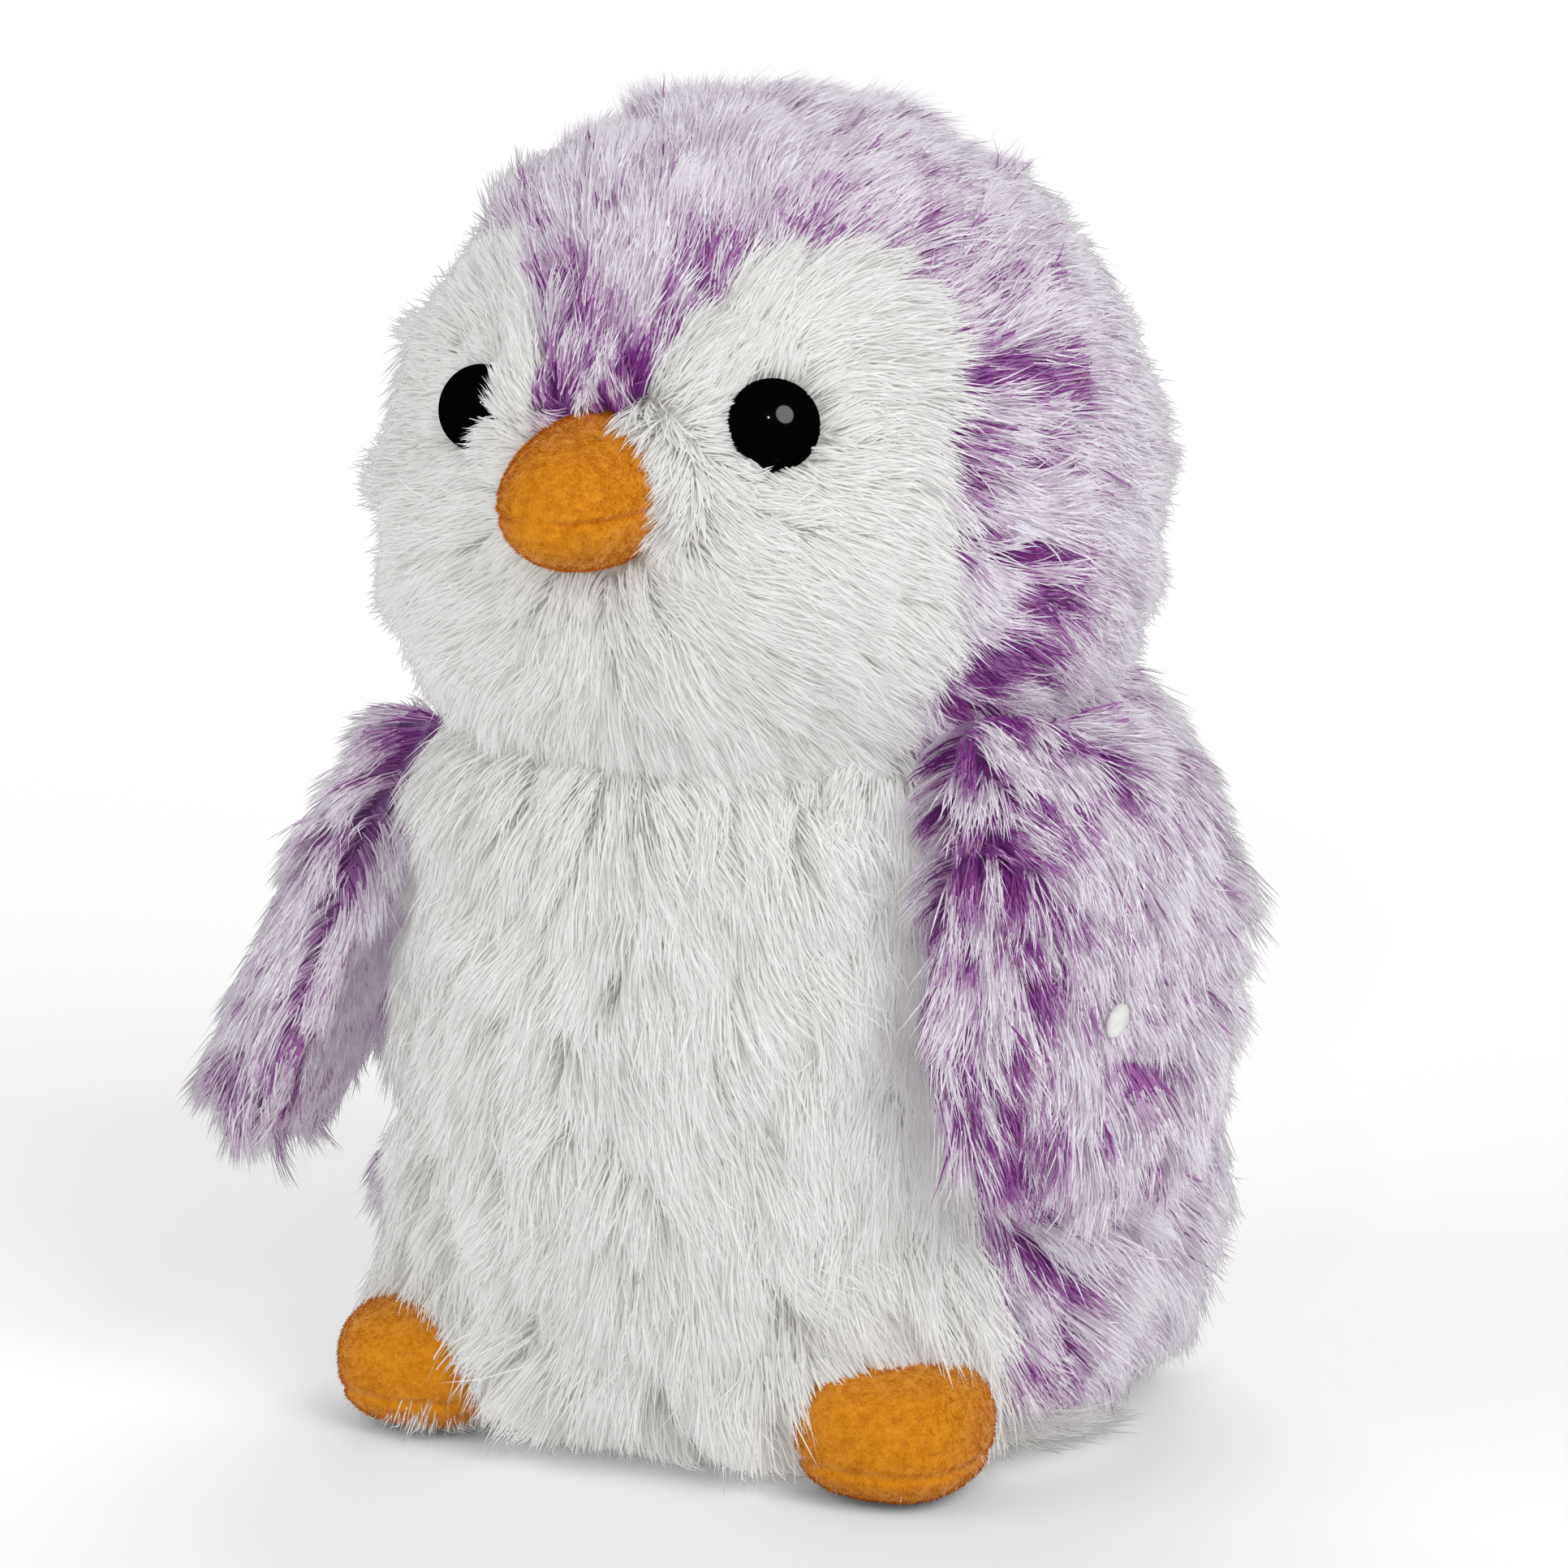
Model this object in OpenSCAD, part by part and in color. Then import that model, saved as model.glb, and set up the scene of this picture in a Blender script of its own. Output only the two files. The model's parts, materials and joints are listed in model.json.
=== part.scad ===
// A standing plush penguin, about 180 mm tall: a round stuffed head, an egg-shaped
// stuffed body, two flipper wings, two felt feet, a felt beak and two safety eyes.
// Millimetres. The toy faces -Y, its left side is +X and +Z is up. The origin is on
// the floor, on the axis of the body.

/* [Head] */
// Radius of the head across the cheeks
head_r = 52.5; // [51.5:0.5:53]
// Height of the crown over a plain half ball, as a factor
crown_rise = 1.07; // [1:0.01:1.1]
// Height of the middle of the head above the floor
head_z = 123.5; // [122.5:0.5:124.5]
// How far the middle of the head sits in front of the body's axis
head_lead = 8; // [7:0.5:9]
// Width of the gusset that runs over the crown
gusset_w = 34; // [28:1:40]

/* [Face] */
// Diameter of each safety eye
eye_d = 12; // [11:0.5:13]
// Turn of each eye away from straight ahead, in degrees
eye_turn = 28; // [26:1:30]
// Rise of each eye above the middle of the head, in degrees
eye_rise = 18.5; // [16:0.5:21]
// Radius of the beak where it leaves the face
beak_r = 11.3; // [10:0.1:11.5]
// Rise of the beak above the middle of the head, in degrees
beak_rise = 7; // [5:1:9]

/* [Body] */
// Radius of the body at its widest
body_r = 59.5; // [58.5:0.5:60]
// Thickness of the plush skin with its pile
skin = 6; // [5.5:0.5:6.5]
// Radius of the flat panel that the toy stands on
base_r = 37; // [34:1:38]

/* [Wings] */
// Length of each wing from its shoulder seam to its tip
wing_l = 57; // [55:1:60]
// Width of each wing at its widest
wing_w = 56; // [50:1:58]
// Thickness of each wing
wing_t = 9; // [8:0.5:9.5]
// How far the left wing hangs out from the side, in degrees
left_flare = 7; // [7:1:12]
// How far the right wing hangs out from the side, in degrees
right_flare = 18; // [7:1:24]
// How far the left wing's tip points forward, in degrees
left_sweep = 16; // [4:1:16]
// How far the right wing's tip points forward, in degrees
right_sweep = 4; // [4:1:16]

/* [Feet] */
// Radius of each foot seen from above
foot_r = 13; // [12:0.5:13.5]
// Height of each foot
foot_h = 17; // [15:0.5:17.5]
// Distance of each foot from the middle of the toy
foot_x = 34.5; // [33:0.5:35.5]
// Distance of each foot in front of the middle of the toy
foot_y = 39.5; // [38.5:0.5:41]

/* [Hidden] */

$fn = 96;
LEFT = 1;
RIGHT = -1;
far = 90;           // longer than any piece, for cutters
arc_step = 7.5;     // degrees between the points of a round outline
fill_gap = 0.2;     // stuffing to the felt or plush round it
fill_slack = 1.2;   // stuffing to the skin of the head and body
neck_gap = 0.5;     // head to neck stuffing to body
wing_gap = 0.6;     // wing to the dent it lies in
foot_gap = 1.2;     // foot to the dent it sits in
felt_t = 1.4;       // felt of the beak and feet

// Neck
neck_t = 3;         // thickness of the stuffing between head and body
neck_r = 24;        // radius of the neck opening

// Face
eye_seat = head_r - 4.7;    // distance of an eye's back from the middle of the head
eye_dome = 5;
shank_r = 2.2;
shank_l = 12;
washer_r = 7.5;
washer_t = 1.5;
washer_seat = eye_seat - 3.6;
beak_seat = head_r - skin + 0.3;
beak_l = 15.5;
beak_tip_r = 8;
beak_seam = -3;     // height of the beak's seam on its own axis

// Body outline: a base corner, a long side arc and a shoulder
corner = 19;
side_arc = 130;
side_mid = 50;
shoulder = 20;
shoulder_z = 86;
shoulder_in = 33;

// Wings
wing_turn = 74;     // azimuth of the middle of a shoulder from straight ahead
wing_hinge_r = 57.2;
wing_hinge_z = 91;
wing_curve = 75;    // radius that a wing is curved to, round the body
wing_top = 46;      // width at the shoulder
closed_flare = 7;
wing_hem = 3;       // width of the seam round a wing's stuffing
wing_fill_t = 3.2;  // thickness of that stuffing

// Tag pin, on the left wing
pin_r = 0.8;
pin_back = -3;      // place across the wing
pin_drop = -31;     // and down from the shoulder

// Feet
foot_round = foot_h / 2;
foot_seam = -3;     // height of the sole's seam from the middle of a foot
foot_z = foot_round + 0.4;
foot_room = 24;     // height of the dent over a foot

// Pellet bag
bag_r = 30;
bag_z = 9;
bag_h = 15;
bag_wall = 0.8;
pellet_r = 2.2;
pellet_pitch = 5.6;
pellet_rings = 3;

// Closing stitches, on the spine seam
stitch_z = 24;
stitch_count = 7;
stitch_pitch = 3.6;
stitch_l = 6;
stitch_seat = body_r - 5.2;     // distance of the stitches from the body's axis

plush = [0.80, 0.72, 0.84];
white_plush = [0.93, 0.93, 0.91];
felt = [0.85, 0.53, 0.10];
stuffing = [0.96, 0.96, 0.95];

// ---------- outlines ----------

function arc(cx, cy, r, from, to) =
    let (n = max(1, round(abs(to - from) / arc_step)))
    [for (i = [0 : n])
        let (a = from + (to - from) * i / n)
        [cx + r * cos(a), cy + r * sin(a)]];

function clear_axis(points) = [for (p = points) [max(0, p[0]), p[1]]];

function head_outline(inset) = clear_axis(concat(
    arc(0, 0, head_r - inset, -90, 0),
    [for (a = [arc_step : arc_step : 90])
        [(head_r - inset) * cos(a), (head_r * crown_rise - inset) * sin(a)]]));

function body_outline(inset) = concat(
    [[0, inset]],
    arc(body_r - 3.5 - corner, corner, corner - inset, -90, -12),
    arc(body_r - side_arc, side_mid, side_arc - inset, -13, 18),
    arc(shoulder_in, shoulder_z, shoulder - inset, 26, 90),
    [[0, shoulder_z + shoulder - inset]]);

// Half of the heart-shaped white face, seen from the front
function face_outline() = concat(
    [[0, -far], [0, 5], [2, 8]],
    arc(21, 17.5, 20, 135, 10),
    [[44.5, 0], [43, -11], [36, -26], [30, -far]]);

// Half of the white belly, seen from the front
function belly_outline() =
    [[0, -1], [41, -1], [45, 12], [47, 25], [40, 70], [33, far + 20], [0, far + 20]];

// A wing seen from the side, hinge at the origin, tip down, rear to +X
function wing_outline(grow, length = wing_l) = concat(
    arc(wing_top / 2 - 10, wing_t / 2 - 10, 10 + grow, 90, 20),
    arc(wing_w / 2 - 20, -length * 0.62, 20 + grow, 10, -50),
    arc(wing_w / 2 - 19, 17 - length, 17 + grow, -60, -90),
    arc(19 - wing_w / 2, 17 - length, 17 + grow, 270, 240),
    arc(20 - wing_w / 2, -length * 0.62, 20 + grow, 230, 170),
    arc(10 - wing_top / 2, wing_t / 2 - 10, 10 + grow, 160, 90));

function foot_outline(inset) = concat(
    [[0, -foot_round + inset]],
    arc(foot_r - foot_round, 0, foot_round - inset, -90, 90),
    [[0, foot_round - inset]]);

function beak_outline(inset) = concat(
    [[0, beak_seat], [beak_r - inset, beak_seat], [beak_r - inset, beak_seat + 3]],
    clear_axis(arc(0, beak_seat + beak_l - beak_tip_r, beak_tip_r - inset, 30, 90)));

// ---------- places ----------

module at_head() translate([0, -head_lead, head_z]) children();

// Puts +Z along a ray from the middle of the head
module from_head(turn, rise) at_head() rotate([0, 0, turn]) rotate([90 - rise, 0, 0]) children();

module at_wing(side, flare, sweep)
    mirror([side == LEFT ? 0 : 1, 0, 0])
    translate([wing_hinge_r * sin(wing_turn), -wing_hinge_r * cos(wing_turn), wing_hinge_z])
    rotate([0, 0, wing_turn])
    rotate([-flare, 0, 0])
    rotate([0, sweep, 0])
    children();

module at_foot(side) translate([side * foot_x, -foot_y, foot_z]) children();

function flare_of(side) = side == LEFT ? left_flare : right_flare;
function sweep_of(side) = side == LEFT ? left_sweep : right_sweep;

// ---------- shared solids ----------

module head_solid(inset) at_head() rotate_extrude() polygon(head_outline(inset));

module head_skin() difference() {
    head_solid(0);
    head_solid(skin);
}

module body_solid(inset) rotate_extrude() polygon(body_outline(inset));

module face_cutter(side)
    at_head() mirror([side == LEFT ? 0 : 1, 0, 0]) rotate([90, 0, 0])
    linear_extrude(far) polygon(face_outline());

module belly_cutter(side)
    mirror([side == LEFT ? 0 : 1, 0, 0]) rotate([90, 0, 0])
    linear_extrude(far) polygon(belly_outline());

// Everything on one side of the middle plane
module half_space(side)
    translate([side == LEFT ? 0 : -2 * far, -far, -1]) cube([2 * far, 2 * far, 3 * far]);

module slab(width) translate([-width / 2, -far, -1]) cube([width, 2 * far, 3 * far]);

module beak_hole()
    from_head(0, beak_rise) translate([0, 0, head_r - skin - 4])
    cylinder(h = skin + 20, r = beak_r + fill_gap);

module beak_solid(inset) from_head(0, beak_rise) rotate_extrude() polygon(beak_outline(inset));

module eye_socket(side) from_head(side * eye_turn, eye_rise) {
    translate([0, 0, eye_seat - 0.1]) cylinder(h = 20, r = eye_d / 2 + 0.3);
    translate([0, 0, eye_seat - shank_l - 1]) cylinder(h = 20, r = shank_r + fill_gap);
}

module washer_socket(side)
    from_head(side * eye_turn, eye_rise)
    translate([0, 0, washer_seat - 0.3]) cylinder(h = 6, r = washer_r + 0.3);

module neck_cup() {
    at_head() sphere(r = head_r + neck_gap);
    intersection() {
        at_head() sphere(r = head_r + neck_t + 2 * neck_gap);
        translate([0, -head_lead, 0]) cylinder(h = head_z, r = neck_r + neck_gap);
    }
}

// The space that a wing lies and swings in
module wing_dent(side) at_wing(side, closed_flare, sweep_of(side)) {
    difference() {
        rotate([90, 0, 0]) translate([0, 0, -20]) linear_extrude(80)
            polygon(wing_outline(wing_gap));
        translate([0, wing_curve, -wing_l - 5])
            cylinder(h = wing_l + 30, r = wing_curve - wing_t / 2 - wing_gap);
    }
    rotate([0, 90, 0]) cylinder(h = wing_top + 6, r = wing_t / 2 + 4, center = true);
}

module foot_dent(side)
    translate([side * foot_x, -foot_y, -1]) cylinder(h = foot_room + 1, r = foot_r + foot_gap);

module dents() for (side = [LEFT, RIGHT]) {
    wing_dent(side);
    foot_dent(side);
}

module body_skin() difference() {
    body_solid(0);
    body_solid(skin);
    neck_cup();
    dents();
    translate([0, 0, -1]) cylinder(h = skin + 1 + fill_gap, r = base_r);
}

// A wing's outline, between two distances from its middle surface
module wing_slice(grow, near, away) difference() {
    rotate([90, 0, 0]) translate([0, 0, -20]) linear_extrude(40) polygon(wing_outline(grow));
    translate([0, wing_curve, -wing_l - 5])
        cylinder(h = wing_l + 30, r = wing_curve + near);
    difference() {
        translate([-far, -far, -far]) cube(2 * far);
        translate([0, wing_curve, -far]) cylinder(h = 2 * far, r = wing_curve + away);
    }
}

module foot_solid(side, inset) at_foot(side) rotate_extrude() polygon(foot_outline(inset));

// ---------- head ----------

module crown_gusset() color(plush) difference() {
    intersection() {
        head_skin();
        slab(gusset_w);
    }
    face_cutter(LEFT);
    face_cutter(RIGHT);
    beak_hole();
}

module head_side(side) color(plush) difference() {
    intersection() {
        head_skin();
        half_space(side);
    }
    slab(gusset_w);
    face_cutter(side);
}

module face(side) color(white_plush) difference() {
    intersection() {
        head_skin();
        face_cutter(side);
    }
    beak_hole();
    eye_socket(side);
}

module head_fill() color(stuffing) difference() {
    head_solid(skin + fill_slack);
    for (side = [LEFT, RIGHT]) {
        eye_socket(side);
        washer_socket(side);
    }
}

module beak_felt() difference() {
    beak_solid(0);
    beak_solid(felt_t);
}

module beak_half(top) intersection() {
    beak_felt();
    from_head(0, beak_rise)
        translate([-far / 2, top ? beak_seam : beak_seam - far, 0]) cube([far, far, far]);
}

module beak_upper() color(felt) beak_half(true);
module beak_lower() color(felt) beak_half(false);
module beak_fill() color(stuffing) beak_solid(felt_t + fill_gap);

module eye(side) color("black") from_head(side * eye_turn, eye_rise) rotate_extrude() polygon(
    concat([[0, eye_seat - shank_l], [shank_r, eye_seat - shank_l], [shank_r, eye_seat]],
        [for (a = [0 : 10 : 90])
            [max(0, eye_d / 2 * cos(a)), eye_seat + eye_dome * sin(a)]]));

module eye_washer(side) color("white")
    from_head(side * eye_turn, eye_rise) translate([0, 0, washer_seat]) difference() {
        cylinder(h = washer_t, r = washer_r);
        translate([0, 0, -1]) cylinder(h = washer_t + 2, r = shank_r + 0.05);
    }

module neck_fill() color(stuffing) intersection() {
    difference() {
        at_head() sphere(r = head_r + neck_gap + neck_t);
        at_head() sphere(r = head_r + neck_gap);
    }
    translate([0, -head_lead, 0]) cylinder(h = head_z, r = neck_r);
}

// ---------- body ----------

module belly(side) color(white_plush) intersection() {
    body_skin();
    belly_cutter(side);
}

module back(side) color(plush) difference() {
    intersection() {
        body_skin();
        half_space(side);
    }
    belly_cutter(side);
    stitch_groove();
}

module base_panel() color(white_plush) difference() {
    intersection() {
        body_solid(0);
        translate([0, 0, -1]) cylinder(h = skin + 1, r = base_r - fill_gap);
    }
    foot_dent(LEFT);
    foot_dent(RIGHT);
}

module body_fill() color(stuffing) difference() {
    body_solid(skin + fill_slack);
    neck_cup();
    foot_dent(LEFT);
    foot_dent(RIGHT);
    bag_shape(-fill_gap);
}

module bag_shape(inset)
    translate([0, 0, bag_z + bag_h / 2]) rotate_extrude() polygon(concat(
        [[0, inset - bag_h / 2]],
        arc(bag_r - bag_h / 2, 0, bag_h / 2 - inset, -90, 90),
        [[0, bag_h / 2 - inset]]));

module pellet_bag() color("ivory") difference() {
    bag_shape(0);
    bag_shape(bag_wall);
}

module pellets() color("snow")
    for (layer = [0 : 1], row = [-pellet_rings : pellet_rings])
        for (i = [0 : 2 * pellet_rings - abs(row)])
            translate([
                (i - (2 * pellet_rings - abs(row)) / 2) * pellet_pitch,
                row * pellet_pitch * sin(60),
                bag_z + bag_wall + 0.3 + pellet_r + layer * (2 * pellet_r + 0.4)])
            sphere(r = pellet_r, $fn = 24);

module stitch_groove()
    translate([-stitch_l / 2 - 0.5, stitch_seat, stitch_z - 2])
    cube([stitch_l + 1, 20, stitch_count * stitch_pitch + 1]);

// Ladder stitches that close the spine seam over the stuffing
module closing_stitches() color("white")
    for (i = [0 : stitch_count - 1])
        translate([-stitch_l / 2, stitch_seat, stitch_z + i * stitch_pitch])
        cube([stitch_l, 1, 0.8]);

// ---------- wings ----------

module wing_half(side, near, away) color(plush)
    at_wing(side, flare_of(side), sweep_of(side)) difference() {
        wing_slice(0, near, away);
        wing_slice(-wing_hem, -wing_fill_t / 2, wing_fill_t / 2);
    }

module wing_outer(side) difference() {
    wing_half(side, 0, wing_t / 2);
    if (side == LEFT) tag_pin_place() translate([0, 0, -1])
        cylinder(h = 20, r = pin_r + 0.1);
}

module wing_inner(side) wing_half(side, -wing_t / 2, 0);

module wing_fill(side) color(stuffing)
    at_wing(side, flare_of(side), sweep_of(side)) wing_slice(
        -wing_hem - fill_gap, fill_gap - wing_fill_t / 2, wing_fill_t / 2 - fill_gap);

module tag_pin_place()
    at_wing(LEFT, left_flare, left_sweep)
    translate([pin_back, -1.7, pin_drop]) rotate([90, 0, 0]) children();

// The plastic pin that a hang tag was fastened with
module tag_pin() color("white") tag_pin_place() {
    cylinder(h = wing_t / 2 - 1, r = pin_r);
    translate([0, 0, wing_t / 2 - 1.7]) cylinder(h = 1, r = 2 * pin_r);
}

// ---------- feet ----------

module foot_felt(side) difference() {
    foot_solid(side, 0);
    foot_solid(side, felt_t);
}

module below_seam(side)
    at_foot(side) translate([-far / 2, -far / 2, foot_seam - far]) cube([far, far, far]);

module foot_upper(side) color(felt) difference() {
    foot_felt(side);
    below_seam(side);
}

module foot_sole(side) color(felt) intersection() {
    foot_felt(side);
    below_seam(side);
}

module foot_fill(side) color(stuffing) foot_solid(side, felt_t + fill_gap);

// ---------- the assembly ----------

crown_gusset();
head_side(LEFT);  // head_side_left
head_side(RIGHT);  // head_side_right
face(LEFT);  // face_left
face(RIGHT);  // face_right
head_fill();
beak_upper();
beak_lower();
beak_fill();
eye(LEFT);  // eye_left
eye(RIGHT);  // eye_right
eye_washer(LEFT);  // eye_washer_left
eye_washer(RIGHT);  // eye_washer_right
neck_fill();
belly(LEFT);  // belly_left
belly(RIGHT);  // belly_right
back(LEFT);  // back_left
back(RIGHT);  // back_right
base_panel();
body_fill();
pellet_bag();
pellets();
closing_stitches();
wing_outer(LEFT);  // wing_outer_left
wing_inner(LEFT);  // wing_inner_left
wing_fill(LEFT);  // wing_fill_left
tag_pin();
wing_outer(RIGHT);  // wing_outer_right
wing_inner(RIGHT);  // wing_inner_right
wing_fill(RIGHT);  // wing_fill_right
foot_upper(LEFT);  // foot_upper_left
foot_sole(LEFT);  // foot_sole_left
foot_fill(LEFT);  // foot_fill_left
foot_upper(RIGHT);  // foot_upper_right
foot_sole(RIGHT);  // foot_sole_right
foot_fill(RIGHT);  // foot_fill_right
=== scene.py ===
"""Looks of the plush penguin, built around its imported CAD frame.

Shapes are worked out in millimetres, in the CAD frame (the toy faces -Y, its left is +X),
and turned into metres when a mesh is made. Each sewn panel is a skin under a pile of
strands: the strands are real ribbons, grown in clumps and combed by a flow field.
"""

import json
from math import cos, exp, pi, radians, sin, sqrt

import bmesh
import bpy
import numpy as np
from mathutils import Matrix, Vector
from mathutils.kdtree import KDTree


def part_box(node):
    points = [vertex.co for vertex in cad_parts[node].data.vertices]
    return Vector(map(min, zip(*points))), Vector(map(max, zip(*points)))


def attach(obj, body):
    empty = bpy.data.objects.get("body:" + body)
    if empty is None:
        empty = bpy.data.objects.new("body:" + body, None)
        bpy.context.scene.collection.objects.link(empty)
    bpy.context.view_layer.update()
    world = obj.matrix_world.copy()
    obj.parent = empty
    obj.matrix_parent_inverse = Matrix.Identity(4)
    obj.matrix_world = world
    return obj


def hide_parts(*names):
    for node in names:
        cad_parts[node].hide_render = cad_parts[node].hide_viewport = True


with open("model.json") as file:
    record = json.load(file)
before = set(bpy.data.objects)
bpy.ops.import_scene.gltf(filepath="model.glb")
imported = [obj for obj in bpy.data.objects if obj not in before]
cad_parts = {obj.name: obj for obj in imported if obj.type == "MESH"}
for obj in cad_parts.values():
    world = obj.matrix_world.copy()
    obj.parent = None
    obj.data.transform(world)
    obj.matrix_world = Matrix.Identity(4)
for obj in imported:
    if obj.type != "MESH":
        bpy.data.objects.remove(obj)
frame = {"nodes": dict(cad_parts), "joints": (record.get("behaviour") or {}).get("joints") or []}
scene = bpy.context.scene
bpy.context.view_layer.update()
rng = np.random.default_rng(20)

MM = 0.001
UP = np.array([0.0, 0.0, 1.0])
FRONT = np.array([0.0, -1.0, 0.0])
LEFT = np.array([1.0, 0.0, 0.0])
SIDES = {"left": 1, "right": -1}


# ---------------- sizes from the frame

def corners(node):
    low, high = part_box(node)
    return np.array(low) / MM, np.array(high) / MM


PIVOTS = {j["name"]: np.array(j["pos_m"]) / MM for j in frame["joints"]}
HEAD = PIVOTS["neck_nod"]
HEAD_R = corners("head_side_left")[1][0]
CROWN_RISE = (corners("crown_gusset")[1][2] - HEAD[2]) / HEAD_R
BODY_R = corners("back_left")[1][1]
BASE_R = corners("base_panel")[1][0]
FOOT_LOW, FOOT_HIGH = corners("foot_upper_left")

TUFTING = 0.5        # how far a tuft's tips close up
ROOT_LIFT = 52       # degrees that the pile stands off the skin at its roots
GOLDEN_ANGLE = 2.399963      # radians from one root to the next, so that none line up
HEAD_PILE = 6.0      # height of the pile over the skin
BODY_PILE = 6.0
EYE_TURN = 28.0      # degrees, as on the frame
EYE_RISE = 18.5
EYE_R = 6.0
BEAK_RISE = 7.0
BEAK_R = 11.3
GUSSET_HALF = 17.0
BASE_RIM = 10.5      # height that the white base panel curls up to


# ---------------- small maths

def norm(v):
    return np.linalg.norm(v, axis=-1)


def unit(v):
    return v / np.maximum(norm(v)[..., None], 1e-9)


def dot(a, b):
    return np.sum(a * b, axis=-1, keepdims=True)


def tangent(v, normal):
    """The part of v that lies along the surface, as a unit vector."""
    return unit(v - dot(v, normal) * normal)


def smooth(low, high, x):
    t = np.clip((x - low) / (high - low), 0, 1)
    return t * t * (3 - 2 * t)


def bump(x, width):
    return np.exp(-(x / width) ** 2)


def ray(turn, rise):
    """Direction, in degrees of turn to the toy's left from its front, and of rise."""
    t, r = radians(turn), radians(rise)
    return np.array([sin(t) * cos(r), -cos(t) * cos(r), sin(r)])


def waves(seed, shortest, longest, count=9):
    """A smooth random field over space, about -1 to 1, with that range of wavelengths."""
    dice = np.random.default_rng(seed)
    ways = unit(dice.normal(size=(count, 3)))
    ways *= 2 * pi / dice.uniform(shortest, longest, (count, 1))
    shift = dice.uniform(0, 2 * pi, count)
    return lambda p: np.cos(p @ ways.T + shift).sum(1) / sqrt(count) * 0.9


def drawn(field, points, flow, reach=6.0):
    """The field drawn out along the flow, so that its patches become streaks."""
    steps = np.linspace(-reach, reach, 7)
    return 1.5 * np.mean([field(points + step * flow) for step in steps], axis=0)


def arc(cx, cy, r, start, end, step=4.0):
    n = max(2, int(abs(end - start) / step) + 1)
    a = np.radians(np.linspace(start, end, n))
    return np.stack([cx + r * np.cos(a), cy + r * np.sin(a)], 1)


def outline_distance(points, outline):
    """Signed distance of 2-D points to a closed outline, positive inside."""
    a, b = outline, np.roll(outline, -1, 0)
    best = np.full(len(points), 1e9)
    inside = np.zeros(len(points), bool)
    for (ax, ay), (bx, by) in zip(a, b):
        ex, ey = bx - ax, by - ay
        px, py = points[:, 0] - ax, points[:, 1] - ay
        t = np.clip((px * ex + py * ey) / max(ex * ex + ey * ey, 1e-9), 0, 1)
        best = np.minimum(best, (px - t * ex) ** 2 + (py - t * ey) ** 2)
        crosses = (ay > points[:, 1]) != (by > points[:, 1])
        with np.errstate(divide="ignore", invalid="ignore"):
            at = ax + (points[:, 1] - ay) * ex / np.where(ey == 0, 1e-9, ey)
        inside ^= crosses & (points[:, 0] < at)
    d = np.sqrt(best)
    return np.where(inside, d, -d)


def rounded(points):
    """A closed outline with its corners cut off."""
    p = np.asarray(points, float)
    q = np.roll(p, -1, 0)
    return np.stack([0.75 * p + 0.25 * q, 0.25 * p + 0.75 * q], 1).reshape(-1, 2)


# ---------------- materials

def linear(r, g, b):
    c = np.array([r, g, b]) / 255
    return tuple(np.where(c <= 0.04045, c / 12.92, ((c + 0.055) / 1.055) ** 2.4)) + (1.0,)


def set_inputs(node, **values):
    for key, value in values.items():
        node.inputs[key.replace("_", " ")].default_value = value
    return node


def add_node(tree, kind, **values):
    """A new shader node with some of its inputs set."""
    return set_inputs(tree.nodes.new(f"ShaderNode{kind}"), **values)


def wire(tree, *wires):
    """Links nodes. Each wire has a node, its output, the next node and its input."""
    for source, output, target, socket in wires:
        tree.links.new(source.outputs[output], target.inputs[socket])


def multiply_add(tree, factor):
    node = add_node(tree, "Math")
    node.operation = "MULTIPLY_ADD"
    node.inputs[1].default_value = factor
    return node


def principled(name, color, roughness, **inputs):
    m = bpy.data.materials.new(name)
    m.use_nodes = True
    shader = set_inputs(m.node_tree.nodes["Principled BSDF"], Base_Color=linear(*color),
                        Roughness=roughness, **inputs)
    return m, m.node_tree, shader


def fibres(name, glow, *colors):
    """Constant fibre colours. The glow stands for light passed on from fibre to fibre."""
    return [principled(f"{name}_{i}", c, 0.7, Specular_IOR_Level=0.2, Emission_Strength=glow,
                       Emission_Color=linear(*c))[0] for i, c in enumerate(colors)]


def speckled(name, light, dark, scale, roughness=0.9, depth=0.25, stretch=(1, 1, 1)):
    """Cloth with fine fibre speckle: two noises mix two colours and drive a small bump."""
    m, tree, shader = principled(name, light, roughness, Sheen_Weight=0.25,
                                 Sheen_Roughness=0.5, Specular_IOR_Level=0.2)
    place = add_node(tree, "TexCoord")
    mapping = add_node(tree, "Mapping", Scale=stretch)
    fine = add_node(tree, "TexNoise", Scale=scale, Detail=5)
    broad = add_node(tree, "TexNoise", Scale=scale / 9, Detail=2)
    both = multiply_add(tree, 0.45)
    ramp = add_node(tree, "ValToRGB")
    for stop, position, color in zip(ramp.color_ramp.elements, (0.5, 0.8), (dark, light)):
        stop.position = position
        stop.color = linear(*color)
    raised = add_node(tree, "Bump", Strength=depth, Distance=0.0004)
    wire(tree, (place, "Object", mapping, "Vector"), (mapping, "Vector", fine, "Vector"),
         (mapping, "Vector", broad, "Vector"), (broad, "Fac", both, 0), (fine, "Fac", both, 2),
         (both, "Value", ramp, "Fac"), (ramp, "Color", shader, "Base Color"),
         (fine, "Fac", raised, "Height"), (raised, "Normal", shader, "Normal"))
    return m


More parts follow.
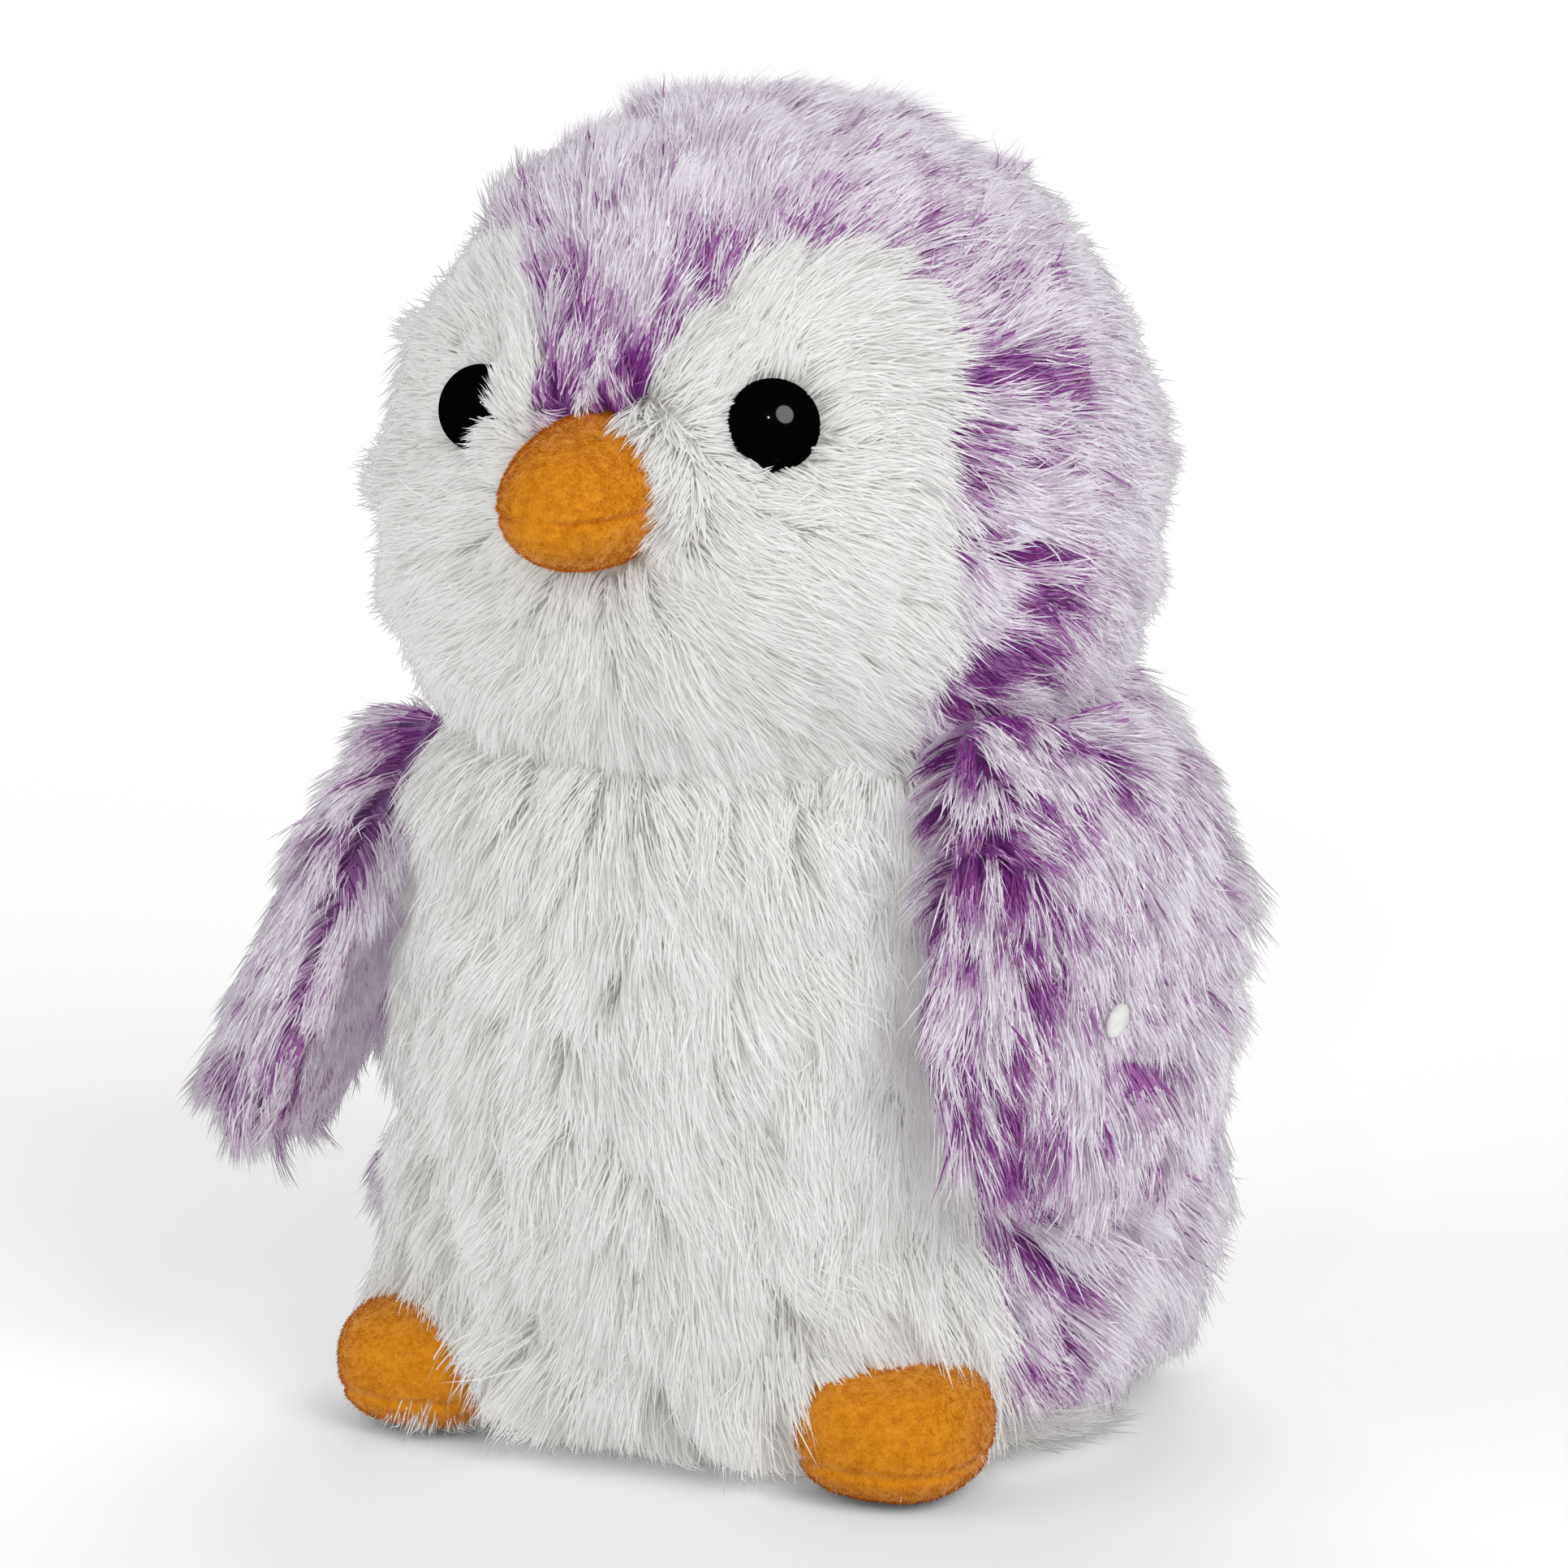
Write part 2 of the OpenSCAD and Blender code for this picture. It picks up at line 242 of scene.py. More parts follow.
FIBRES = {       # of each slot's pile, from deep to pale
    "plush_purple": fibres(
        "purple_pile", 0.12, (126, 54, 134), (160, 100, 164), (193, 163, 195),
        (216, 206, 218), (230, 224, 232), (240, 237, 242)),
    "plush_white": fibres(
        "white_pile", 0.12, (196, 194, 188), (220, 219, 216), (232, 232, 230), (238, 238, 237)),
    "orange_felt": fibres("felt_nap", 0.04, (212, 130, 12), (228, 148, 20), (240, 166, 36))}
BACKING = {      # the cloth that the pile grows on
    "plush_purple": speckled("purple_backing", (158, 112, 172), (112, 66, 130), 900),
    "plush_white": speckled("white_backing", (236, 235, 231), (208, 205, 198), 900)}
FELT = speckled("orange_felt", (234, 154, 20), (214, 130, 8), 4200, depth=0.3)
FIBRE = speckled("polyester_fibre", (242, 242, 240), (214, 214, 212), 260, depth=0.8)
COTTON = speckled("bag_cotton", (222, 212, 190), (190, 178, 150), 2200, stretch=(1, 6, 1))
MOULDED = speckled("white_moulding", (244, 244, 241), (230, 230, 226), 700, 0.45, 0.05)
THREAD = speckled("white_thread", (236, 236, 234), (196, 196, 192), 2600, stretch=(1, 1, 8))


def eye_material():
    """Black moulded plastic, polished, with faint wear in the gloss."""
    m, tree, shader = principled("eye_gloss", (5, 5, 6), 0.06, Specular_IOR_Level=0.5)
    noise = add_node(tree, "TexNoise", Scale=420)
    spread = add_node(tree, "MapRange", To_Min=0.04, To_Max=0.12)
    wire(tree, (noise, "Fac", spread, "Value"), (spread, "Result", shader, "Roughness"))
    return m


EYE_GLOSS = eye_material()


# ---------------- meshes

def add_object(name, data):
    obj = bpy.data.objects.new(name, data)
    scene.collection.objects.link(obj)
    return obj


def placed(name, mesh, body, node, slot, thick=0.0):
    """An object that shows the mesh, rides on a body and stands for a CAD node."""
    obj = add_object(name, mesh)
    if thick:
        solid = obj.modifiers.new("thickness", "SOLIDIFY")
        solid.thickness = thick * MM
        solid.offset = -1
    obj.visible_glossy = False       # the black eyes reflect the lamps, not the pile
    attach(obj, body)
    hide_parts(node)


def piece(name, verts, faces, body, node, slot, material, thick=0.0):
    """A piece from vertices in millimetres."""
    mesh = bpy.data.meshes.new(name)
    mesh.from_pydata([tuple(v) for v in np.asarray(verts) * MM], [], [tuple(f) for f in faces])
    mesh.update()
    mesh.materials.append(material)
    mesh.shade_smooth()
    placed(name, mesh, body, node, slot, thick)


def clip(verts, tris, field):
    """Keeps the part of a triangle mesh where the field is positive, cut cleanly."""
    above = field > 0
    count = above[tris].sum(1)
    out = [tuple(t) for t in tris[count == 3]]
    verts = list(map(tuple, verts))
    cuts = {}

    def cut(a, b):
        key = (min(a, b), max(a, b))
        if key not in cuts:
            t = field[a] / (field[a] - field[b])
            verts.append(tuple(np.array(verts[a]) * (1 - t) + np.array(verts[b]) * t))
            cuts[key] = len(verts) - 1
        return cuts[key]

    for tri in tris[(count > 0) & (count < 3)]:
        ring = []
        for i in range(3):
            a, b = tri[i], tri[(i + 1) % 3]
            if above[a]:
                ring.append(a)
            if above[a] != above[b]:
                ring.append(cut(a, b))
        out += [(ring[0], ring[i], ring[i + 1]) for i in range(1, len(ring) - 1)]
    out = np.array(out)
    used, renumbered = np.unique(out, return_inverse=True)
    return np.array(verts)[used], renumbered.reshape(-1, 3)


def skin_panel(node, verts, tris, body, slot, fill, *fields):
    """The part of a skin where every field is positive, as a panel with a thickness."""
    for field in fields:
        verts, tris = clip(verts, tris, field(verts))
    piece(f"{node}_skin", verts, tris, body, node, slot, BACKING[slot], 0.8)


def lathe(profile, steps):
    """Turns (radius, height) points round +Z. A radius of 0 closes the end."""
    verts, rings = [], []
    for r, z in profile:
        if r < 1e-6:
            rings.append([len(verts)] * steps)
            verts.append((0, 0, z))
            continue
        rings.append(list(range(len(verts), len(verts) + steps)))
        angles = [2 * pi * i / steps for i in range(steps)]
        verts += [(r * cos(a), r * sin(a), z) for a in angles]
    faces = []
    for low, high in zip(rings, rings[1:]):
        for i in range(steps):
            j = (i + 1) % steps
            ring = [low[i], low[j], high[j], high[i]]
            ring = [v for k, v in enumerate(ring) if v != ring[k - 1]]
            if len(ring) > 2:
                faces.append(ring)
    return np.array(verts, float), faces


def ring_quads(rings, steps, first=0):
    """Faces that join rings of vertices, numbered one ring after the other."""
    quads = []
    for i in range(rings):
        for j in range(steps):
            a, b = first + i * steps + j, first + i * steps + (j + 1) % steps
            quads.append((a, b, b + steps, a + steps))
    return quads


def dome(radius, height, base, degrees):
    """(radius, height) points up an oval dome, closed at its top."""
    points = [(radius * cos(a), base + height * sin(a)) for a in np.radians(degrees)]
    return points[:-1] + [(0.0, points[-1][1])]


def basis(direction):
    """Three unit rows: across, up and out, with out along the direction."""
    out = unit(np.asarray(direction, float))
    across = unit(np.cross(UP, out))
    return np.stack([across, np.cross(out, across), out])


def icosphere(levels):
    bm = bmesh.new()
    bmesh.ops.create_icosphere(bm, subdivisions=levels, radius=1.0)
    verts = np.array([v.co for v in bm.verts])
    tris = np.array([[v.index for v in f.verts] for f in bm.faces])
    bm.free()
    return verts, tris


# ---------------- pile

SEGMENTS = 3


def nearest(centres, points):
    tree = KDTree(len(centres))
    for i, c in enumerate(centres):
        tree.insert(c, i)
    tree.balance()
    return np.array([tree.find(p)[1] for p in points])


class Tufts:
    """Groups roots into tufts about a pitch apart, each with a chance of its own."""

    def __init__(self, root, pitch, area, tall=1.0):
        squashed = root * np.array([1, 1, 1 / tall])
        count = max(4, int(area / pitch ** 2 / tall))
        centres = squashed[rng.choice(len(root), count, replace=False)]
        for _ in range(2):
            index = nearest(centres, squashed)
            total = np.stack([np.bincount(index, squashed[:, i], count) for i in range(3)], 1)
            centres = total / np.maximum(np.bincount(index, minlength=count), 1)[:, None]
        self.index = nearest(centres, squashed)
        self.pull = (centres[self.index] - squashed) * np.array([1, 1, tall])
        self.count = count

    def chance(self, spread):
        return rng.normal(0, spread, self.count)[self.index]


def strands(name, body, node, slot, root, normal, flow, length, lift, dark, gather,
            per_clump=11, spread=1.3, width=0.24, fray=0.1, floor=None, pull=None):
    """Grows a pile of clumped strands, as one piece of tapered ribbons.

    Each row of root, normal, flow, length and dark is a clump. lift is the angle off the
    skin at the root and at the tip, in degrees, then each clump's own extra in radians.
    gather is how far a clump's strands close up, and pull moves its tips to their tuft.
    dark is 0 for the palest pile and 1 for the deepest.
    """
    m, k = len(root), per_clump
    n = m * k
    spread_along = rng.uniform(0, 1, (n, 1)) ** 0.5 * spread
    turn = rng.uniform(0, 2 * pi, (n, 1))
    side = np.cross(flow, normal)
    each = lambda a: np.repeat(a, k, 0)
    nrm, flw, sde = each(normal), each(flow), each(side)
    offset = spread_along * (np.cos(turn) * flw + np.sin(turn) * sde)
    size = each(length)[:, None] * rng.uniform(0.7, 1.14, (n, 1))
    stray = 1 + 1.5 * (rng.random((n, 1)) < 0.05)
    lean = rng.normal(0, fray, (n, 1)) * stray
    rise = rng.normal(0, fray * 0.6, (n, 1))
    close = gather * rng.uniform(0.75, 1.1, (m, 1))
    shift = each(pull - dot(pull, normal) * normal) if pull is not None else 0 * nrm
    step = size / SEGMENTS
    here = each(root)
    points = [here + offset]
    for j in range(1, SEGMENTS + 1):
        t = j / SEGMENTS
        angle = np.radians(lift[0] + (lift[1] - lift[0]) * (j - 0.5) / SEGMENTS) + each(
            lift[2])[:, None]
        way = unit(flw + lean * sde * (0.6 + t))
        here = here + step * (np.cos(angle) * way + np.sin(angle + rise) * nrm)
        points.append(here + offset * (1 - each(close) * t ** 1.3) + shift * t ** 1.2)
    points = np.stack(points, 1)
    if floor is not None:
        z = points[:, :, 2]
        points[:, :, 2] = np.maximum(np.where(z < floor, floor + 0.03 * (z - floor), z), 0.1)
    along = unit(np.gradient(points, axis=1))
    twist = rng.uniform(-0.95, 0.95, (n, 1, 1))
    flat = unit(np.cross(along, nrm[:, None, :]))
    broad = unit(np.cos(twist) * flat + np.sin(twist) * np.cross(flat, along))
    half = width / 2 * rng.uniform(0.7, 1.3, (n, 1)) * np.array([[0.8, 1.0, 0.75]])
    wide = broad[:, :3] * half[:, :, None]
    co = np.repeat(points, 2, 1)[:, :7]
    co[:, 0:6:2] -= wide
    co[:, 1:6:2] += wide
    soft = unit(0.75 * nrm[:, None, :] + 0.45 * np.cross(broad, along))
    custom = np.repeat(soft, 2, 1)[:, :7]

    mesh = bpy.data.meshes.new(name)
    mesh.vertices.add(n * 7)
    mesh.vertices.foreach_set("co", (co * MM).astype(np.float32).ravel())
    pattern = np.array([0, 1, 3, 2, 2, 3, 5, 4, 4, 5, 6])
    loops = (np.arange(n)[:, None] * 7 + pattern).ravel()
    mesh.loops.add(len(loops))
    mesh.loops.foreach_set("vertex_index", loops.astype(np.int32))
    mesh.polygons.add(n * 3)
    starts = (np.arange(n)[:, None] * 11 + np.array([0, 4, 8])).ravel()
    mesh.polygons.foreach_set("loop_start", starts.astype(np.int32))
    for material in FIBRES[slot]:
        mesh.materials.append(material)
    shades = SHADES[slot](dark, k)
    mesh.polygons.foreach_set("material_index", shades.astype(np.int32).ravel())
    mesh.update(calc_edges=True)
    mesh.normals_split_custom_set_from_vertices(custom.reshape(-1, 3).astype(np.float32))
    placed(name, mesh, body, node, slot)


def tone(d, palest, *limits):
    """Number of a pile colour: the palest one, and one deeper past each limit."""
    return palest - np.sum([d > limit for limit in limits], axis=0)


def purple_shade(dark, k):
    """Frosted pile: deep at the root, pale at the tip, and deep further up where dark is 1.

    A few clumps, and a few single strands, are deeper than those round them.
    """
    n = len(dark) * k
    dash = 0.42 * (rng.random(len(dark)) < 0.06)
    spot = np.repeat(dark + dash, k)
    d = spot + rng.normal(0, 1, n) * (0.08 + 0.14 * smooth(0.3, 0.7, spot))
    d += 0.65 * (rng.random(n) < 0.03)
    tip = tone(d, 4, 0.5, 0.75, 0.95)
    tip = np.where((tip == 4) & (rng.random(n) < 0.4), 5, tip)
    return np.stack([tone(d, 2, 0.2, 0.55), tone(d, 3, 0.35, 0.6, 0.85), tip], 1)


def white_shade(dark, k):
    d = np.repeat(dark, k) + rng.normal(0, 0.2, len(dark) * k)
    return np.stack([tone(d, 1, 0.5), tone(d, 2, 0.8), tone(d, 3, 0.6)], 1)


def nap_shade(dark, k):
    shade = np.clip(rng.normal(1.5, 0.6, len(dark) * k), 0, 2).astype(int)
    return np.stack([shade, shade, shade], 1)


SHADES = {"plush_purple": purple_shade, "plush_white": white_shade, "orange_felt": nap_shade}

streaks = waves(3, 5, 13, 12)
dashes = waves(11, 3.0, 7, 14)
blotches = waves(5, 18, 40)
swirl = waves(8, 14, 40)
swirl_too = waves(9, 10, 30)


def combed(way, p, normal, ruffle, turn, *tufting):
    """The flow along the surface, ruffled here and there and turned from tuft to tuft."""
    wobble = np.stack([swirl(p), swirl_too(p), swirl(p + 50)], 1)
    flow = tangent(way + ruffle * wobble, normal)
    tufts = Tufts(p, *tufting)
    return unit(flow + tufts.chance(turn)[:, None] * np.cross(normal, flow)), tufts


def patchy(p, flow):
    """0 to 1 in streaks and patches along the flow."""
    return smooth(0.1, 0.9, drawn(streaks, p, flow) + 0.35 * blotches(p))


def uneven(p, tufts, spread):
    """A factor about 1, for the pile's length."""
    return 1 + 0.12 * swirl(p * 1.7) + tufts.chance(spread)


# ---------------- head

HEAD_SKIN_R = HEAD_R - HEAD_PILE
HEAD_CLUMPS = 30000
EYE_DIRS = {s: ray(SIDES[s] * EYE_TURN, EYE_RISE) for s in SIDES}
BEAK_DIR = ray(0, BEAK_RISE)
FACE_OUTLINE = rounded(
    [[-20, -60], [-20, 4], [0, 4], [1.5, 8], [5, 17], [10, 28], [15, 34.5], [22, 37.5],
     [30, 35.5], [37, 29], [42, 18], [44.5, 3], [43.5, -11], [39, -22], [33, -34], [30, -60]])


def face_distance(p):
    """How far inside the white face a point is, seen from the front, at the pile's tips."""
    x, z = p[:, 0], p[:, 2] - HEAD[2]
    flat = np.stack([np.abs(x), z], 1) * HEAD_R / HEAD_SKIN_R
    behind = smooth(HEAD[1] - 4, HEAD[1] + 4, p[:, 1])
    low_down = smooth(34, 12, z)
    shift = 3.5 * smooth(-18, -34, x) - 3.0 * smooth(12, 28, x) * low_down
    shift -= 3.5 * smooth(0, -2, x) * smooth(-22, -14, x) * low_down
    return outline_distance(flat, FACE_OUTLINE) + shift - 60 * behind


def head_skin(d):
    """Point of the head's skin in each direction from the middle of the head."""
    stretch = np.ones_like(d)
    stretch[d[:, 2] > 0, 2] = CROWN_RISE
    p = HEAD + d * HEAD_SKIN_R * stretch
    swell = np.zeros(len(d))
    for s in SIDES.values():
        cheek = 1.6, 34, -14, 0.42
        bridge = 2.6 if s > 0 else 3.8, 12, 19, 0.15
        socket = -1.0, EYE_TURN, EYE_RISE, 0.2
        for height, turn, rise, width in (cheek, bridge, socket):
            swell += height * bump(norm(d - ray(s * turn, rise)), width)
    front = smooth(0, 15, HEAD[1] - p[:, 1])
    seam = bump(face_distance(p), 3.0) * front
    middle = bump(p[:, 0], 2.6) * front * smooth(HEAD[2] + 2, HEAD[2] - 6, p[:, 2])
    return p + d * (swell - 1.0 * seam - 1.0 * middle)[:, None]


def head_normal(d):
    a = unit(np.cross(d, UP + 0.01))
    b = np.cross(d, a)
    e = 0.02
    du, dv = (head_skin(unit(d + e * w)) - head_skin(unit(d - e * w)) for w in (a, b))
    n = unit(np.cross(du, dv))
    return n * np.sign(dot(n, d))


def golden_sphere(n):
    i = np.arange(n) + 0.5
    z = 1 - 2 * i / n
    a = pi * (1 + 5 ** 0.5) * i
    r = np.sqrt(1 - z * z)
    return np.stack([r * np.cos(a), r * np.sin(a), z], 1)


def build_head():
    verts, tris = icosphere(6)
    verts = head_skin(verts)
    around_face = lambda v: -face_distance(v)
    skin_panel("crown_gusset", verts, tris, "head", "plush_purple", 0.85,
               lambda v: GUSSET_HALF - np.abs(v[:, 0]), around_face)
    for side, s in SIDES.items():
        skin_panel(f"head_side_{side}", verts, tris, "head", "plush_purple", 0.85,
                   lambda v: s * v[:, 0] - GUSSET_HALF, around_face)
        skin_panel(f"face_{side}", verts, tris, "head", "plush_white", 0.85,
                   lambda v: s * v[:, 0] + 1e-4, face_distance)

    d = unit(golden_sphere(HEAD_CLUMPS) + rng.normal(0, 0.008, (HEAD_CLUMPS, 3)))
    p = head_skin(d)
    n = head_normal(d)
    eye_gap = np.min([norm(p - (HEAD + e * HEAD_SKIN_R)) for e in EYE_DIRS.values()], axis=0)
    beak_axis = (p - HEAD) @ BEAK_DIR
    beak_gap = norm(p - HEAD - beak_axis[:, None] * BEAK_DIR)
    beak_gap = np.where(beak_axis > 0, beak_gap, 99)
    in_face = face_distance(p)
    keep = (eye_gap > EYE_R - 0.1) & (beak_gap > BEAK_R - 1.9) & ~hidden_by_body(p, 9.0)
    p, n, eye_gap, beak_gap, in_face = (a[keep] for a in (p, n, eye_gap, beak_gap, in_face))

    x, y = p[:, 0], p[:, 1]
    z = p[:, 2] - HEAD[2]
    side = np.sign(p[:, :1])
    eye = HEAD + np.where(side > 0, EYE_DIRS["left"], EYE_DIRS["right"]) * HEAD_R
    from_beak = p - (HEAD + BEAK_DIR * HEAD_R)
    from_eye = p - eye
    white = in_face > 0
    gusset = ~white & (np.abs(x) < GUSSET_HALF)

    near_eye = bump(eye_gap, 11)[:, None]
    rim = smooth(2.0, 0.0, eye_gap - EYE_R)
    beak_rim = smooth(3.0, 0.0, beak_gap - BEAK_R + 1.0)
    face_flow = unit(from_beak) + 1.3 * near_eye * unit(from_eye) - 0.25 * UP \
        + side * 0.25 * LEFT
    side_flow = -FRONT + 0.55 * unit(from_eye) - 0.3 * UP
    outward = np.clip(p[:, :1] / GUSSET_HALF, -1, 1)
    gusset_flow = unit(np.cross(n, LEFT) + 0.45 * outward * LEFT)
    near = smooth(GUSSET_HALF + 18, GUSSET_HALF, np.abs(p[:, :1]))
    purple_flow = near * gusset_flow + (1 - near) * unit(side_flow)
    over_beak = smooth(6, 2, beak_gap - BEAK_R + 1.9) * smooth(-2, 4, x) \
        * smooth(-8, -1, from_beak[:, 2])
    down_beak = over_beak[:, None] * (-1.1 * unit(from_beak) - 1.4 * UP)
    flow = np.where(white[:, None], (1 - over_beak[:, None]) * face_flow + down_beak, purple_flow)
    area = 4 * pi * HEAD_SKIN_R ** 2 * len(p) / HEAD_CLUMPS
    flow, tufts = combed(unit(flow), p, n, 0.25, 0.16, 4.6, area)

    border = bump(in_face + 3.5, 5.5) * ~white
    border *= smooth(-20, 10, z + 30) * smooth(HEAD[1] + 8, HEAD[1] - 8, y)
    border *= 1 - 0.65 * smooth(14, 30, z)
    patches = patchy(p, flow)
    peak = ~white * smooth(34, 16, z) * smooth(-20, -34, y - HEAD[1]) * (np.abs(x) < 18)
    marks = drawn(dashes, p, flow, 3.0)
    dark = 0.05 + 0.18 * patches + 1.6 * border * (1 - 0.65 * peak) * smooth(-0.5, 0, marks) \
        + 0.3 * peak * smooth(-0.2, 0.3, marks) + tufts.chance(0.05)
    dark = np.where(white, 0.25 + 0.25 * patches, dark)
    length = np.where(white, 10.0, 11.0) * uneven(p, tufts, 0.07)
    length *= 0.44 + 0.56 * smooth(EYE_R, EYE_R + 10, eye_gap)
    length *= 0.5 + 0.5 * smooth(BEAK_R - 1, BEAK_R + 9, beak_gap)
    length *= 1 + 0.5 * over_beak
    length *= 1 - 0.25 * smooth(0.6, 1.0, dark)
    under = smooth(-20, -36, z)
    length *= 1 + 0.1 * under
    tilt = np.radians(5 * swirl_too(p * 1.3) + tufts.chance(5) - 9 * smooth(0.5, 0.9, dark))
    above_beak = smooth(-8, 2, from_beak[:, 2])
    tilt += np.radians(26 * rim + (15 + 40 * above_beak) * beak_rim * (1 - over_beak)
                       + 30 * over_beak - 8 * near_eye[:, 0] + 4 * under)

    def grow(node, mask, slot, tip_lift, gather, tufting):
        strands(f"{node}_pile", "head", node, slot, p[mask], n[mask], flow[mask],
                length[mask], (ROOT_LIFT, tip_lift, tilt[mask]), dark[mask], gather,
                pull=(tufts.pull * tufting)[mask])

    for side_name, s in SIDES.items():
        here = s * x > 0
        grow(f"face_{side_name}", white & here, "plush_white", 0, 0.45, 0.8 * TUFTING)
        grow(f"head_side_{side_name}", here & ~white & ~gusset, "plush_purple", -2, 0.6,
             TUFTING)
    grow("crown_gusset", gusset, "plush_purple", -2, 0.6, TUFTING)


# ---------------- body

WING_TURN = radians(74)      # of the wings' middle, from the front
CORNER, SIDE_ARC, SIDE_MID = 19.0, 130.0, 50.0
SHOULDER, SHOULDER_Z, SHOULDER_IN = 20.0, 86.0, 33.0


SKIN_PROFILE = np.concatenate([      # (radius, height), from the base to the shoulder's top
    arc(BODY_R - 3.5 - CORNER, CORNER, CORNER - BODY_PILE, -88, -12),
    arc(BODY_R - SIDE_ARC, SIDE_MID, SIDE_ARC - BODY_PILE, -13, 18, 1.0),
    arc(SHOULDER_IN, SHOULDER_Z, SHOULDER - BODY_PILE, 26, 88)])
BELLY_EDGE = np.array([[41, -1], [45, 12], [47, 25], [40, 70], [33, 110]])


def belly_distance(p):
    """How far inside the white belly a point is, seen from the front, at the pile's tips."""
    edge = np.interp(p[:, 2], BELLY_EDGE[:, 1], BELLY_EDGE[:, 0]) + 4.0 * (p[:, 0] < 0)
    return edge - np.abs(p[:, 0]) * BODY_R / (BODY_R - BODY_PILE) - 60 * smooth(-4, 4, p[:, 1])


def hidden_by_body(p, margin):
    """True where a point is further than the margin inside the body's skin."""
    r = np.interp(p[:, 2], SKIN_PROFILE[:, 1], SKIN_PROFILE[:, 0])
    depth = r - np.hypot(p[:, 0], p[:, 1])
    return (depth > margin) & (p[:, 2] < SKIN_PROFILE[-1, 1])


def wing_hollow(z, angle):
    """Depth of the hollow in the body that each wing lies in."""
    return 3.0 * bump(np.abs(angle) - WING_TURN, 0.5) * smooth(26, 40, z)


def body_skin(t, angle):
    """Point of the body's skin: t runs 0 to 1 up the profile, angle round from the front."""
    gaps = norm(np.diff(SKIN_PROFILE, axis=0))
    reach = np.concatenate([[0], np.cumsum(gaps)])
    reach /= reach[-1]
    r = np.interp(t, reach, SKIN_PROFILE[:, 0])
    z = np.interp(t, reach, SKIN_PROFILE[:, 1])
    flat = np.stack([r * np.sin(angle), -r * np.cos(angle), z], 1)
    seam = bump(belly_distance(flat), 2.6)
    front = bump(flat[:, 0], 3.0) * (flat[:, 1] < 0)
    spine = bump(flat[:, 0], 2.2) * (flat[:, 1] > 0)
    chest = bump(z - 91, 11) * smooth(1.5, 0.8, np.abs(angle))
    r = r + 3.0 * chest - 0.9 * seam - 0.8 * front * smooth(2, 20, z) - 0.7 * spine
    r = r - wing_hollow(z, angle)
    return np.stack([r * np.sin(angle), -r * np.cos(angle), z], 1)


def body_normal(t, angle):
    e = 0.01
    du = body_skin(t, angle + e * 1.5) - body_skin(t, angle - e * 1.5)
    dv = body_skin(np.clip(t + e, 0, 1), angle) - body_skin(np.clip(t - e, 0, 1), angle)
    return unit(np.cross(du, dv))


def body_grid(rows, columns):
    t = np.linspace(0, 1, rows)
    a = np.linspace(-pi, pi, columns, endpoint=False)
    tt, aa = np.meshgrid(t, a, indexing="ij")
    verts = body_skin(tt.ravel(), aa.ravel())
    quads = ring_quads(rows - 1, columns)
    return verts, np.array([tri for a, b, c, d in quads for tri in ((a, b, c), (a, c, d))])


def off_head(p):
    """Distance of a point outside the head's skin."""
    return norm(p - HEAD) - HEAD_SKIN_R


